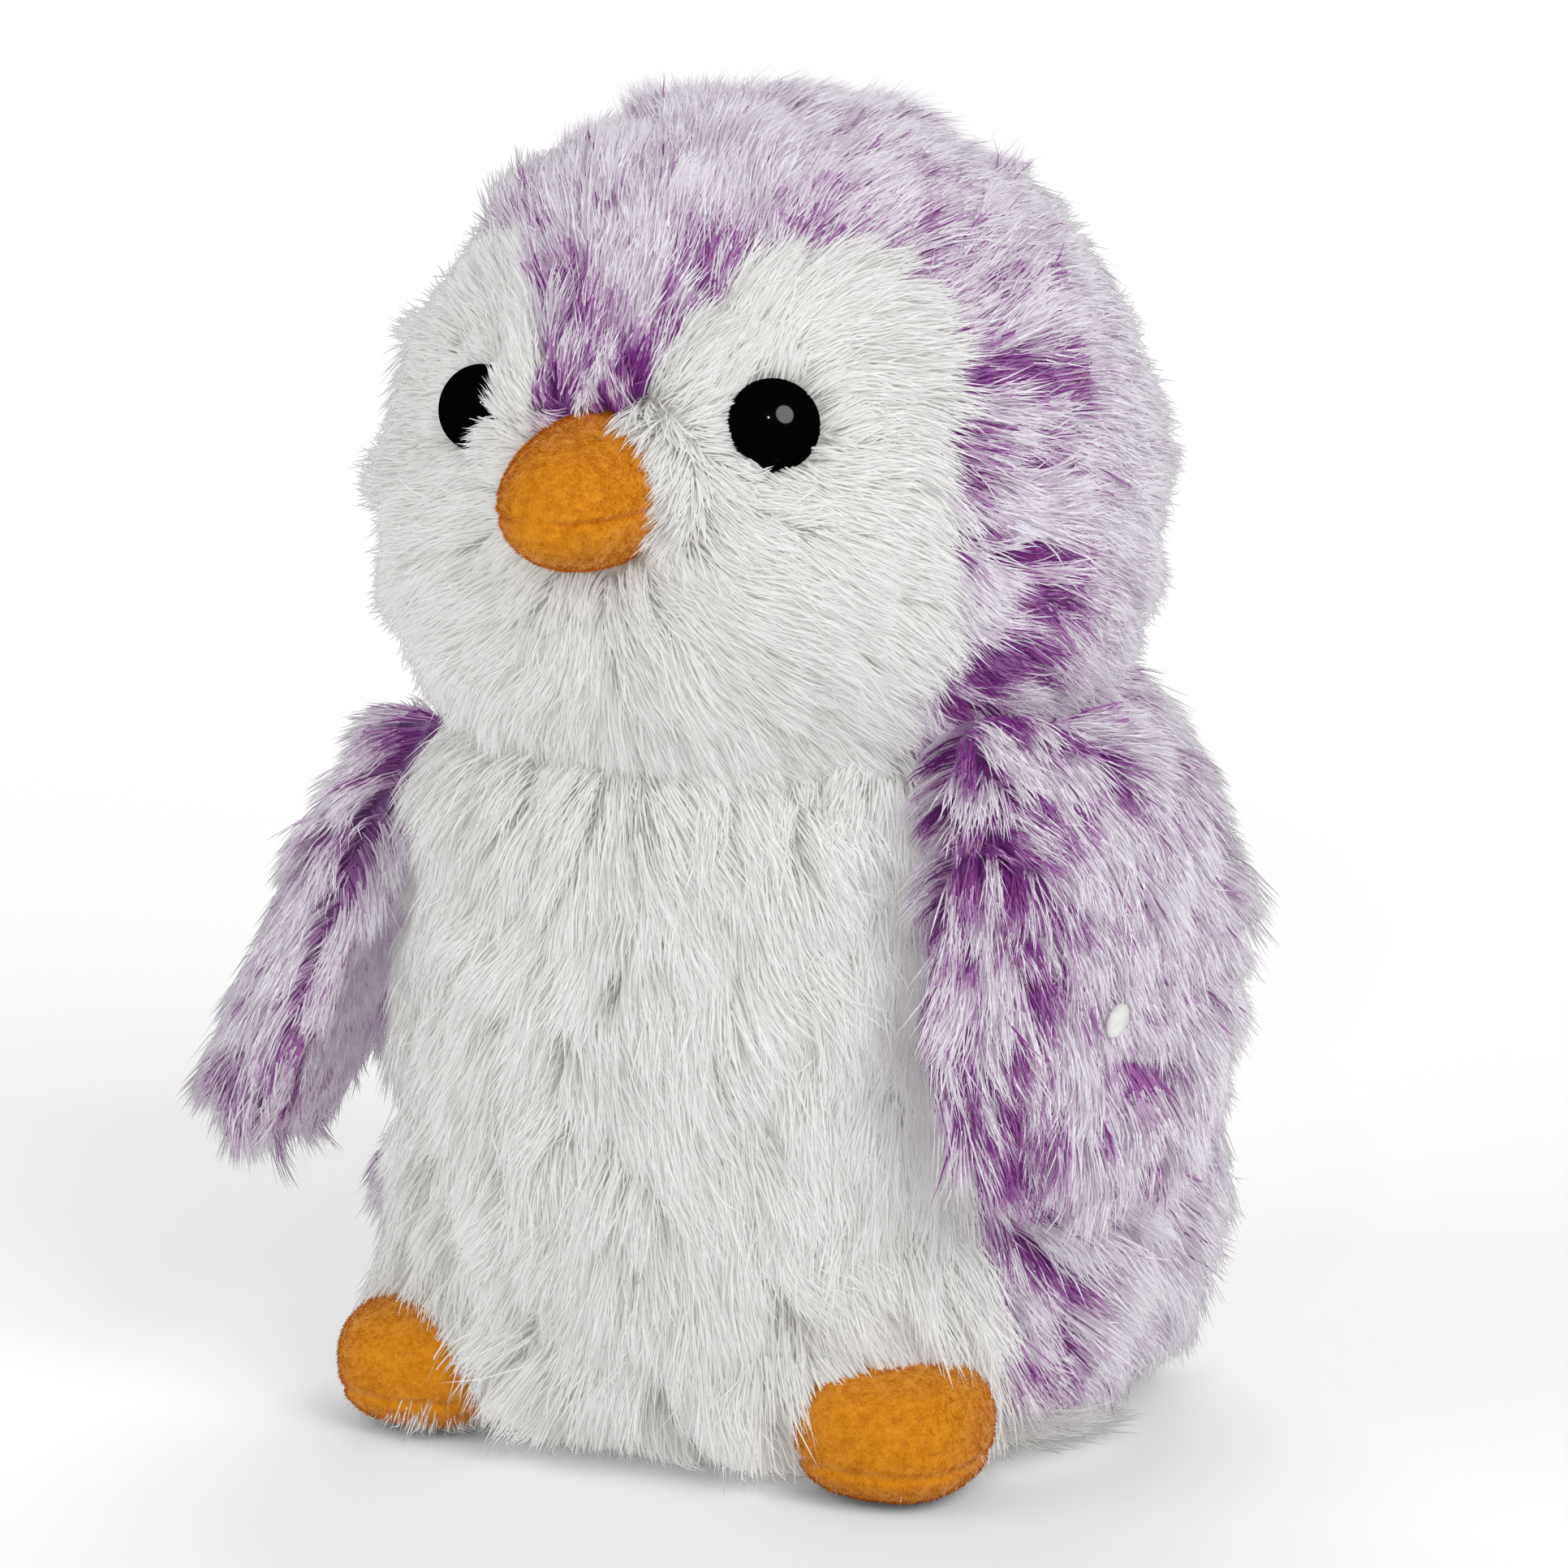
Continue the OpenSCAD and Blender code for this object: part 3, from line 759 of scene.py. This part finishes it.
def build_body():
    verts, tris = body_grid(70, 150)
    rim = lambda v: off_head(v) - 1.5
    for side, s in SIDES.items():
        half = lambda v: s * v[:, 0] + 1e-4
        skin_panel(f"belly_{side}", verts, tris, "body", "plush_white", 0.8,
                   half, belly_distance, rim)
        skin_panel(f"back_{side}", verts, tris, "body", "plush_purple", 0.8,
                   half, lambda v: -belly_distance(v), rim)

    count = 27000
    i = np.arange(count)
    t = (i + 0.5) / count
    a = (i * GOLDEN_ANGLE) % (2 * pi) - pi
    radius = np.interp(t, np.linspace(0, 1, len(SKIN_PROFILE)), SKIN_PROFILE[:, 0])
    t = np.clip(t + rng.normal(0, 0.004, count), 0, 1)
    a = a + rng.normal(0, 0.012, count)
    keep = rng.random(count) < radius / BODY_R
    t, a = t[keep], a[keep]
    p = body_skin(t, a)
    n = body_normal(t, a)
    keep = off_head(p) > 1.0
    over_foot, near_foot = np.zeros(len(p)), np.full(len(p), 99.0)
    for side_name, s in SIDES.items():
        from_foot = norm((p - foot_centre(side_name))[:, :2])
        keep &= (from_foot > 13.5) | (p[:, 2] > (15 if s > 0 else 12))
        near_foot = np.minimum(near_foot, from_foot)
        over_foot += bump(from_foot, 12) * smooth(32, 22, p[:, 2])
    p, n, over_foot, near_foot, turn = (
        x[keep] for x in (p, n, over_foot, near_foot, np.abs(a)))
    x, z = p[:, 0], p[:, 2]
    side = np.clip(p[:, :1] / 6, -1, 1)
    in_belly = belly_distance(p)
    white = in_belly > 0
    outward = LEFT * side
    belly_flow = -UP + outward * (0.22 + 0.2 * bump(p[:, :1], 14)) + 0.12 * FRONT
    back_flow = -UP - 0.55 * FRONT * smooth(60, 10, p[:, 1:2])
    flow = np.where(white[:, None], belly_flow, back_flow)
    area = 2 * pi * BODY_R * SHOULDER_Z
    flow, tufts = combed(unit(flow), p, n, 0.26, 0.18, 4.4, area, 1.7)
    seam = bump(in_belly + 3.0, 3.0) * ~white
    neck = smooth(12, 2, off_head(p))
    patches = patchy(p, flow)
    fine = smooth(-0.2, 0.3, drawn(dashes, p, flow, 3.0))
    # painted shadow: the body's pile just under each wing's hem is darkened, in dashes along the
    # flow, as shade cast by the wing
    under_wing_painted_shadow = bump(turn - WING_TURN + 0.15, 0.45) * bump(z - 32, 4)
    dark = 0.02 + 0.12 * patches + 0.7 * seam * fine + 0.4 * neck * patches \
        + 0.55 * under_wing_painted_shadow * fine + tufts.chance(0.05)
    dark = np.where(white, 0.25 + 0.25 * patches, dark)
    length = np.where(white, 12.5, 11.0) * uneven(p, tufts, 0.08)
    at_wing = bump(turn - WING_TURN, 0.55)
    shoulder = at_wing * smooth(84, 92, z)
    covered = at_wing * smooth(34, 46, z) * smooth(90, 84, z)
    length *= 1 + neck * (tufts.chance(0.2) - 0.3)
    length *= 1 - 0.4 * smooth(20, 4, z) * ~white
    bulge = bump(z - 36, 14) * ~white
    length *= 1 + 0.15 * (bulge + white * smooth(34, 16, z))
    length *= 1 + 0.35 * shoulder - 0.3 * covered + over_foot * np.where(x > 0, 0.3, 0.6)
    tilt = np.radians(5 * swirl_too(p * 1.3) + tufts.chance(6)
                      + neck * (tufts.chance(10) - 12) - 16 * covered
                      + 16 * over_foot + 9 * bulge)
    low = (z < BASE_RIM) & ~white & (near_foot > 16)
    lit = unit(n[low] + 0.6 * UP)
    # The rim's pile takes its palest tones (a dark of 0), painted light that keeps it white in
    # the shade under the body; its normals, turned upward, also brighten its shading.
    strands("base_rim_pile", "body", "base_panel", "plush_white", p[low], lit,
            tangent(flow[low], lit), 0.8 * length[low], (44, -6, tilt[low]), 0 * dark[low],
            0.4, spread=1.4, floor=1.0)

    purple = ~white & (z > BASE_RIM)
    for side_name, s in SIDES.items():
        here = s * x > 0
        for part, mask, slot, tufting in (
                ("belly", white & here, "plush_white", 0.55 * TUFTING),
                ("back", purple & here, "plush_purple", TUFTING)):
            node = f"{part}_{side_name}"
            strands(f"{node}_pile", "body", node, slot, p[mask], n[mask], flow[mask],
                    length[mask], (ROOT_LIFT, -1, tilt[mask]), dark[mask], 0.5,
                    spread=1.4, floor=1.6, pull=tufts.pull[mask] * tufting)


def build_body_fill():
    """The body's stuffing: the frame's, drawn in under the wings like the skin over it."""
    fill = frame["nodes"]["body_fill"]
    verts = np.array([fill.matrix_world @ v.co for v in fill.data.vertices]) / MM
    r = np.maximum(np.hypot(verts[:, 0], verts[:, 1]), 1.0)
    hollow = wing_hollow(verts[:, 2], np.arctan2(verts[:, 0], -verts[:, 1]))
    verts[:, :2] *= (1 - hollow * smooth(35, 45, r) / r)[:, None]
    piece("body_fill_wadding", verts, [f.vertices for f in fill.data.polygons], "body",
          "body_fill", "stuffing", FIBRE)


def build_base():
    """The round bottom panel: a slightly crowned disc of short white plush."""
    profile = [(0, 1.7), (BASE_R * 0.7, 1.6), (BASE_R - 3, 1.5), (BASE_R - 0.8, 2.2),
               (BASE_R - 0.8, 3.0), (BASE_R - 3, 2.4), (0, 2.6)]
    verts, faces = lathe(profile, 72)
    piece("base_panel_skin", verts, [f[::-1] for f in faces], "body", "base_panel",
          "plush_white", BACKING["plush_white"])
    count = 2600
    i = np.arange(count) + 0.5
    r = np.sqrt(i / count) * (BASE_R + 3)
    a = i * GOLDEN_ANGLE
    p = np.stack([r * np.cos(a), r * np.sin(a), np.full(count, 1.3)], 1)
    way = unit(np.stack([np.cos(a), np.sin(a), 0 * a], 1) + 0.5 * np.stack(
        [swirl(p), swirl_too(p), 0 * a], 1))
    normal = np.tile(-UP, (count, 1))
    strands("base_panel_pile", "body", "base_panel", "plush_white", p, normal,
            tangent(way, normal), np.full(count, 5.0), (9, 1, np.zeros(count)),
            np.full(count, 0.3), 0.5, per_clump=10, spread=1.0, floor=0.15)


# ---------------- wings

WING_L = {"left": 59.0, "right": 60.0}
WING_W, WING_T = 56.0, 9.0
WING_CURVE = 75.0
WING_RISE = {"left": 6.0, "right": 1.5}  # how far it covers its shoulder seam
WING_IN = {"left": 0.0, "right": 3.0}    # how much closer it lies than on the frame
WING_FORE = {"left": 2.5, "right": 0.0}  # how much further forward
WING_TUCK = {"left": 2.5, "right": 4.5}  # how far its top leans in to the body
WING_POSE = {"left": (7.0, 14.0), "right": (18.0, 14.0)}  # flare and sweep in degrees
WING_SEAM = -4.5             # of the skins' edge, from the pile's


def wing_outline(side, grow):
    w, length = WING_W / 2, WING_L[side]
    return np.concatenate([
        arc(12, WING_T / 2 - 10, 10 + grow, 90, 20),
        arc(w - 19.5, -length * 0.58, 21 + grow, 10, -50),
        arc(w - 21, 19 - length, 19 + grow, -60, -90),
        arc(14 - w, 13 - length, 13 + grow, 270, 205),
        arc(20 - w, -length * 0.6, 20 + grow, 200, 170),
        arc(-17, WING_T / 2 - 10, 10 + grow, 160, 90)])


def wing_axes(side):
    """Origin and rows of a wing's own axes: rear, inward, up, as on the frame."""
    flare, sweep = (radians(v) for v in WING_POSE[side])
    hinge = PIVOTS[f"wing_{side}_flap"]
    rear = np.array([cos(WING_TURN), sin(WING_TURN), 0])
    out = np.array([sin(WING_TURN), -cos(WING_TURN), 0])
    down = -cos(flare) * UP + sin(flare) * out
    out = cos(flare) * out + sin(flare) * UP
    tip = cos(sweep) * down - sin(sweep) * rear
    rear = cos(sweep) * rear + sin(sweep) * down
    rows = np.stack([rear, -out, -tip])
    rows[:, 0] *= SIDES[side]
    return hinge, rows


def wing_surface(side, u, v, outer, grow=WING_SEAM, puff=1.0):
    """Point on the outer or inner skin, which are a pillow bent round the body."""
    flat = np.stack([u, v], 1)
    depth = np.maximum(outline_distance(flat, wing_outline(side, grow)), 0)
    fall = np.clip(depth / 9.0, 0, 1)
    half = puff * np.sqrt(fall * (2 - fall)) * (-3.8 if outer else 2.6)
    u = u - WING_FORE[side]
    bend = WING_CURVE - np.sqrt(WING_CURVE ** 2 - u ** 2)
    tuck = WING_IN[side] + WING_TUCK[side] * smooth(-20, 4, v)
    hinge, rows = wing_axes(side)
    return hinge + np.stack([u, bend + half + tuck, v + WING_RISE[side]], 1) @ rows


def wing_disc(side, grow):
    """A flat fan of faces over the wing's outline. The last ring lies on the outline."""
    rings = 16
    outline = wing_outline(side, grow)
    centre = outline.mean(0)
    spread = [sin(pi / 2 * (i + 1) / rings) for i in range(rings)]
    flat = np.concatenate([[centre]] + [centre + (outline - centre) * w for w in spread])
    m = len(outline)
    middle = [(0, 1 + j, 1 + (j + 1) % m) for j in range(m)]
    return flat, middle + ring_quads(rings - 1, m, 1), m


def build_wing_fill(side):
    """The wing's stuffing, a closed pillow inside both skins."""
    grow, puff = -6.0, 0.62
    flat, faces, m = wing_disc(side, grow)
    outer, inner = (wing_surface(side, *flat.T, o, grow, puff) for o in (True, False))
    rim = len(flat) - m
    lower = [[v if v >= rim else v + len(flat) for v in f][::-1] for f in faces]
    both = [list(f) for f in faces] + lower
    if SIDES[side] < 0:
        both = [f[::-1] for f in both]
    piece(f"wing_fill_{side}_wadding", np.concatenate([outer, inner[:rim]]), both,
          f"wing_{side}", f"wing_fill_{side}", "stuffing", FIBRE)


def build_wing(side):
    """The wing's two skins and their pile."""
    _, rows = wing_axes(side)
    body = f"wing_{side}"
    outline = wing_outline(side, WING_SEAM)
    span = WING_L[side]
    centre = outline.mean(0)
    flat, faces, _ = wing_disc(side, WING_SEAM)
    for part, outer in (("outer", True), ("inner", False)):
        node = f"wing_{part}_{side}"
        verts = wing_surface(side, *flat.T, outer)
        flip = (SIDES[side] > 0) == outer
        ordered = [f if flip else f[::-1] for f in faces]
        piece(f"{node}_skin", verts, ordered, body, node, "plush_purple",
              BACKING["plush_purple"], 0.7)

        count = 3000 if outer else 2400
        i = np.arange(count)
        u = ((i * 0.7548777) % 1 - 0.5) * (WING_W - 6)
        v = WING_T / 2 - ((i * 0.5698403) % 1) * (span + WING_T / 2)
        depth = outline_distance(np.stack([u, v], 1), outline)
        keep = depth > -0.2
        u, v, depth = u[keep], v[keep], depth[keep]
        p = wing_surface(side, u, v, outer)
        bend = np.stack([u / WING_CURVE, -np.ones_like(u), 0 * u], 1)
        edge = smooth(6, 0, depth)[:, None]
        away = unit(np.stack([u, v - centre[1]], 1))
        rim = np.stack([away[:, 0], 0 * u, away[:, 1]], 1)
        face = unit(bend) if outer else -unit(bend)
        normal = unit(face + 1.3 * edge * rim) @ rows
        fan = 0.8 * unit(np.stack([u + 26, 0 * u, v - 8], 1)) - 0.45 * UP
        fan += 0.3 * edge * rim
        area = span * WING_W * 1.1
        flow, tufts = combed(unit(fan) @ rows, p, normal, 0.22, 0.16, 4.4, area, 1.5)
        patches = smooth(-0.1, 0.8, drawn(streaks, p, flow) + 0.3 * blotches(p))
        fine = smooth(-0.15, 0.35, drawn(dashes, p, flow, 2.0))
        lead = bump(u + 18, 8) + 0.2 * bump(u + 3, 10)
        lead *= 1.15 if side == "left" else 0.18
        end = smooth(18 - span, 6 - span, v) * smooth(1 - span, 6 - span, v)
        root = smooth(-12, 0, v)
        dark = 0.04 + 0.12 * patches + lead * fine + 0.5 * end * fine \
            + 0.45 * root * fine + tufts.chance(0.05)
        length = 10.5 * uneven(p, tufts, 0.08) * (1 - 0.2 * root)
        tilt = np.radians(5 * swirl_too(p * 1.3) + tufts.chance(5) + 6 * edge[:, 0])
        if not outer:
            length *= 0.8
            tilt -= np.radians(8)
        pull = tufts.pull * TUFTING
        if side == "left" and outer:
            from_pin = norm(p - tag_pin_place())
            tilt -= np.radians(20) * bump(from_pin, 5)
            height, fold = pin_fold(u, v)
            short = np.minimum(length, 1.5 + 1.05 * np.maximum(height, 0))
            length += fold * (height > -1) * (short - length)
            tilt -= np.radians(30) * fold * bump(height + 1, 1.5)
            # painted shade along the crease of the fold
            dark += 0.3 * fold * bump(height + 0.8, 0.9)
            clear = from_pin > 2.4
            p, normal, flow, length, tilt, dark, pull = (
                a[clear] for a in (p, normal, flow, length, tilt, dark, pull))
        strands(f"{node}_pile", body, node, "plush_purple", p, normal, flow, length,
                (44, 0, tilt), dark, 0.55, per_clump=12, pull=pull)


# ---------------- beak and feet

NAP_LENGTH = 0.6
SEAM_HALF = 0.3      # felt is bare this far from a seam


def felt(node, body, verts, faces, count, over_seam, way, mess):
    """One side of a felt shape's seam, and the short loose fibres on it."""
    piece(f"{node}_felt", verts, faces, body, node, "orange_felt", FELT)
    p, n = surface_samples(verts, faces, count)
    off_seam = np.abs(over_seam(p)) > SEAM_HALF
    p, n = p[off_seam], n[off_seam]
    p[:, 2] = np.maximum(p[:, 2], 0.9)       # clear of the floor
    flow = way + rng.normal(0, mess, p.shape)
    none = np.zeros(len(p))
    strands(f"{node}_nap", body, node, "orange_felt", p, n, tangent(flow, n),
            none + NAP_LENGTH, (40, 10, none), none, 0.2, per_clump=5, spread=0.6,
            width=0.07, fray=0.6)


def surface_samples(verts, faces, count):
    """Evenly scattered points on a mesh, with their face normals."""
    tris = np.array([(f[0], f[i], f[i + 1]) for f in faces for i in range(1, len(f) - 1)])
    a, b, c = (verts[tris[:, i]] for i in range(3))
    cross = np.cross(b - a, c - a)
    area = norm(cross)
    pick = rng.choice(len(tris), count, p=area / area.sum())
    u, v = rng.random((2, count, 1))
    over = (u + v) > 1
    u, v = np.where(over, 1 - u, u), np.where(over, 1 - v, v)
    return a[pick] + u * (b[pick] - a[pick]) + v * (c[pick] - a[pick]), unit(cross[pick])


def split_faces(height, faces):
    """Faces above and below a seam, from each point's height over it."""
    mid = [height[list(f)].mean() for f in faces]
    return [f for f, z in zip(faces, mid) if z > 0], [f for f, z in zip(faces, mid) if z <= 0]


BEAK_SEAM = -1.5
BEAK_SEAT = HEAD_R - 9.0
BEAK_DROOP = 0.22    # how far its point hangs, for each mm out from the face


def droop(out):
    return 1.6 - BEAK_DROOP * (out - BEAK_SEAT)


def beak_shape(inset):
    """A blunt cone, wider than tall, pinched along its seam, with its faces and its back."""
    length = 18.5 - inset
    steps, rings = 180, 30
    verts = []
    for i in range(rings + 1):
        t = i / rings * pi / 2
        radius = (BEAK_R - 1.1 - inset) * cos(t) ** 0.66 if i < rings else 0.0
        for j in range(steps):
            a = 2 * pi * j / steps
            x, y = radius * 1.04 * cos(a), radius * 0.97 * sin(a)
            groove = exp(-((y - BEAK_SEAM) / 0.4) ** 2) * min(1.0, radius / 4)
            out = BEAK_SEAT + length * sin(t) - 0.7 * groove * sin(t)
            verts.append((x * (1 - 0.07 * groove), y + droop(out), out))
    return np.array(verts), ring_quads(rings, steps), list(range(steps))[::-1]


def build_beak():
    axes = basis(BEAK_DIR)
    verts, faces, _ = beak_shape(0)
    world = HEAD + verts @ axes
    over_seam = lambda p: (p - HEAD) @ axes[1] - droop((p - HEAD) @ axes[2]) - BEAK_SEAM
    upper, lower = split_faces(verts[:, 1] - droop(verts[:, 2]) - BEAK_SEAM, faces)
    for part, chosen, count in (("upper", upper, 3400), ("lower", lower, 1800)):
        felt(f"beak_{part}", "head", world, chosen, count, over_seam, BEAK_DIR - 0.4 * UP, 0.5)
    verts, faces, back = beak_shape(1.2)
    piece("beak_fill_wadding", HEAD + verts @ axes, faces + [back], "head", "beak_fill",
          "stuffing", FIBRE)


def foot_centre(side):
    low, high = corners(f"foot_upper_{side}")
    low[2] = corners(f"foot_sole_{side}")[0][2]
    return (low + high) / 2


def build_foot(side):
    """A stuffed felt pad: blunt, flattened underneath, pulled in along the sole's seam."""
    centre = foot_centre(side)
    radius = (FOOT_HIGH[0] - FOOT_LOW[0]) / 2
    half = FOOT_HIGH[2] - centre[2]
    seam = -3.2
    verts, tris = icosphere(6)
    blunt = np.sum(np.abs(verts) ** 2.6, 1) ** (-1 / 2.6)
    p = verts * blunt[:, None] * np.array([radius * 0.93, radius * 0.93, half])
    floor = -half + 1.0
    p[:, 2] = np.where(p[:, 2] < floor, floor - 0.25 * (floor - p[:, 2]), p[:, 2])
    ring = bump(p[:, 2] - seam, 0.7)
    p[:, :2] *= (1 - 0.045 * ring)[:, None]
    p[:, 2] += 1.6 * smooth(-half, half, p[:, 2]) * smooth(radius, -radius, -p[:, 1])
    world = centre + p
    upper, lower = split_faces(p[:, 2] - seam, [tuple(t) for t in tris])
    for part, chosen, count in (("upper", upper, 3800), ("sole", lower, 2000)):
        felt(f"foot_{part}_{side}", f"foot_{side}", world, chosen, count,
             lambda q: q[:, 2] - centre[2] - seam, FRONT - 0.5 * UP, 0.6)


# ---------------- eyes and tag pin

def build_eye(side):
    """Domed safety eye with its rim and ribbed shank."""
    seat = HEAD_R - 5.0
    shank = [(0.0, seat - 12)]
    for i in range(6):
        shank += [(1.5, seat - 12 + i * 1.6), (2.2, seat - 11 + i * 1.6)]
    rim = [(2.2, seat - 1.4), (EYE_R - 0.3, seat - 1.4), (EYE_R, seat - 1.1), (EYE_R, seat - 0.9)]
    top = dome(EYE_R - 0.35, 5, seat, np.linspace(0, 90, 20))
    verts, faces = lathe(shank + rim + top, 64)
    world = HEAD + verts @ basis(EYE_DIRS[side])
    piece(f"eye_{side}_dome", world, faces, "head", f"eye_{side}", "eye_black", EYE_GLOSS)


def tag_pin_at():
    """Where the pin is on the left wing's flat outline."""
    hinge, rows = wing_axes("left")
    low, high = corners("tag_pin")
    at = ((low + high) / 2 - hinge) @ rows.T
    return at[0], at[2] - WING_RISE["left"]


def tag_pin_place():
    """Where the pin comes out of the left wing's outer skin."""
    u, v = (np.array([a]) for a in tag_pin_at())
    return wing_surface("left", u, v, True)[0]


def pin_fold(u, v):
    """Height over the fold that the pin pulls in the wing, and 1 along that fold."""
    pin_u, pin_v = tag_pin_at()
    u, v = u - pin_u, v - pin_v
    return v + 2 + 1.5 * smooth(0, 10, u), smooth(0, 2, u) * smooth(17, 12, u)


def build_tag_pin():
    """The end of the plastic pin that a hang tag was fastened with, sunk in the pile."""
    _, rows = wing_axes("left")
    head = dome(1.7, 0.9, 0, range(-70, 91, 10))
    verts, faces = lathe([(0, -6.0), (0.45, -5.9), (0.45, -0.8)] + head, 40)
    verts[:, 1] *= 1.35
    verts[:, 2] += 4.6
    local = np.stack([verts[:, 0] + 0.35 * verts[:, 1], -verts[:, 2], verts[:, 1]], 1)
    piece("tag_pin_end", tag_pin_place() + local @ rows, faces, "wing_left", "tag_pin",
          "washer_white", MOULDED)


# ---------------- inner CAD pieces

def finish_inner_pieces():
    """Gives their materials to the hidden pieces that stay as they are on the frame."""
    wanted = {"head_fill": FIBRE, "neck_fill": FIBRE, "foot_fill_left": FIBRE,
              "foot_fill_right": FIBRE, "pellet_bag": COTTON, "pellets": MOULDED,
              "closing_stitches": THREAD, "eye_washer_left": MOULDED,
              "eye_washer_right": MOULDED}
    for node, material in wanted.items():
        mesh = frame["nodes"][node].data
        mesh.materials.clear()
        mesh.materials.append(material)


# ---------------- camera, floor and light

def look_at(obj, target):
    way = target - np.array(obj.location)
    obj.rotation_euler = Vector(way).to_track_quat("-Z", "Y").to_euler()


def build_camera():
    distance = 0.680     # metres
    target = np.array([0, -4, 84.6]) * MM
    data = bpy.data.cameras.new("camera")
    data.lens = 115.3
    data.clip_start = 0.01
    camera = add_object("camera", data)
    camera.location = target + ray(27.5, 10) * distance
    look_at(camera, target)
    scene.camera = camera


AMBIENT = 0.36       # strength of the white room's light
FLOOR_HALF = 3.0     # metres


def area_light(name, place, size, power, glossy=True):
    data = bpy.data.lights.new(name, "AREA")
    data.shape = "DISK"
    data.size = size
    data.energy = power
    light = add_object(name, data)
    light.location = np.array(place) * MM
    light.visible_glossy = glossy
    look_at(light, np.array([0, 0, 90]) * MM)


def build_studio():
    world = bpy.data.worlds.new("studio")
    scene.world = world
    world.use_nodes = True
    tree = world.node_tree
    sky = set_inputs(tree.nodes["Background"], Color=(1, 1, 1, 1))
    path = add_node(tree, "LightPath")
    seen = multiply_add(tree, 1.0 - AMBIENT)        # the camera sees plain white
    seen.inputs[2].default_value = AMBIENT
    mirrored = multiply_add(tree, -AMBIENT)         # and reflections see no room
    mirrored.use_clamp = True
    wire(tree, (path, "Is Camera Ray", seen, 0), (path, "Is Glossy Ray", mirrored, 0),
         (seen, "Value", mirrored, 2), (mirrored, "Value", sky, "Strength"))
    scene.view_settings.view_transform = "Standard"
    area_light("key", (860, -510, 690), 0.8, 6.0)
    area_light("flash", (222, -644, 424), 0.02, 0.25)
    area_light("fill", (-600, -750, 450), 0.9, 2.7, glossy=False)
    area_light("back", (-400, 900, 700), 0.9, 6.0, glossy=False)
    mesh = bpy.data.meshes.new("floor")
    e = FLOOR_HALF
    mesh.from_pydata([(-e, -e, 0), (e, -e, 0), (e, e, 0), (-e, e, 0)], [], [(0, 1, 2, 3)])
    floor_material, tree, shader = principled("floor_paint", (250, 250, 250), 0.8)
    grain = add_node(tree, "TexNoise", Scale=60)
    raised = add_node(tree, "Bump", Strength=0.02)
    wire(tree, (grain, "Fac", raised, "Height"), (raised, "Normal", shader, "Normal"))
    mesh.materials.append(floor_material)
    floor = add_object("floor", mesh)
    floor.is_shadow_catcher = True
    floor.visible_glossy = False


build_camera()
build_studio()
build_head()
build_body()
build_body_fill()
build_base()
for side in SIDES:
    build_wing_fill(side)
    build_wing(side)
build_beak()
for side in SIDES:
    build_foot(side)
for side in SIDES:
    build_eye(side)
build_tag_pin()
finish_inner_pieces()
